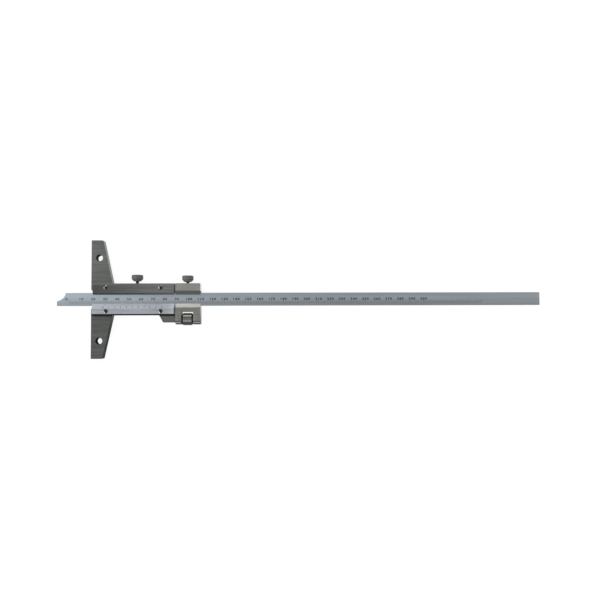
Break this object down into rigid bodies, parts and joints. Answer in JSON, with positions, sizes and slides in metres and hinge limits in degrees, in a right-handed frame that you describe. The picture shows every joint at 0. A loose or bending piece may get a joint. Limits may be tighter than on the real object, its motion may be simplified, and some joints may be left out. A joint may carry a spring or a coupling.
{
  "type": "vernier depth gauge",
  "caption": "Vernier depth gauge with a cross base, a graduated sliding beam, clamp screws and a knurled fine feed nut.",
  "frame": {"origin": "on the back face, midway between the two extension holes of the base", "axes": "+X along the beam away from the measuring face, +Y across the beam towards the clamp screws, +Z out of the graduated face"},
  "size_m": [0.411, 0.1, 0.0107],
  "materials": {
    "ground_steel": "surface ground along the beam",
    "satin_chrome": "satin chrome with black numbers",
    "beam_chrome": "satin chrome with black numbers",
    "carriage_steel": "fine ground",
    "knurled_steel": "dark knurled",
    "nut_steel": "knurled",
    "dark_screw": "blued",
    "bright_steel": "turned",
    "gib_bronze": "rolled strip"
  },
  "bodies": {
    "slider": {"base_body": "ground_steel", "cover_plate": "ground_steel", "vernier_plate": "satin_chrome", "cover_screw_left": "dark_screw", "cover_screw_right": "dark_screw", "vernier_screw_left": "dark_screw", "vernier_screw_right": "dark_screw", "gib_screw_left": "dark_screw", "gib_screw_right": "dark_screw", "feed_screw": "bright_steel", "feed_screw_pin": "bright_steel"},
    "beam": {"main_scale_beam": "beam_chrome"},
    "slider_gib": {"slider_gib": "gib_bronze"},
    "slider_clamp": {"slider_clamp_screw": "knurled_steel"},
    "carriage": {"carriage_block": "carriage_steel"},
    "carriage_gib": {"carriage_gib": "gib_bronze"},
    "carriage_clamp": {"carriage_clamp_screw": "knurled_steel"},
    "feed_nut": {"feed_nut": "nut_steel"}
  },
  "joints": [
    {"name": "beam_slide", "type": "slide", "parent": "slider", "child": "beam", "axis": [-1, 0, 0], "range_m": [-0.0285, 0.2715]},
    {"name": "carriage_slide", "type": "slide", "parent": "slider", "child": "carriage", "axis": [1, 0, 0], "range_m": [-0.0007, 0.006]},
    {"name": "feed_nut_turn", "type": "hinge", "parent": "carriage", "child": "feed_nut", "pos_m": [0.07385, -0.0168, 0.00525], "axis": [1, 0, 0], "range_deg": [-505, 4321]},
    {"name": "slider_gib_slide", "type": "slide", "parent": "slider", "child": "slider_gib", "axis": [0, -1, 0], "range_m": [-0.00025, 0.00009]},
    {"name": "slider_clamp_turn", "type": "hinge", "parent": "slider_gib", "child": "slider_clamp", "pos_m": [0.0314, 0.012, 0.00592], "axis": [0, -1, 0], "range_deg": [-201, 73]},
    {"name": "carriage_gib_slide", "type": "slide", "parent": "carriage", "child": "carriage_gib", "axis": [0, -1, 0], "range_m": [-0.00025, 0.00009]},
    {"name": "carriage_clamp_turn", "type": "hinge", "parent": "carriage_gib", "child": "carriage_clamp", "pos_m": [0.07385, 0.012, 0.00592], "axis": [0, -1, 0], "range_deg": [-201, 73]}
  ],
  "couplings": [
    {"joint": "feed_nut_turn", "follows": "carriage_slide", "rad_per_m": 12566},
    {"joint": "slider_clamp_turn", "follows": "slider_gib_slide", "rad_per_m": 13963},
    {"joint": "carriage_clamp_turn", "follows": "carriage_gib_slide", "rad_per_m": 13963}
  ]
}
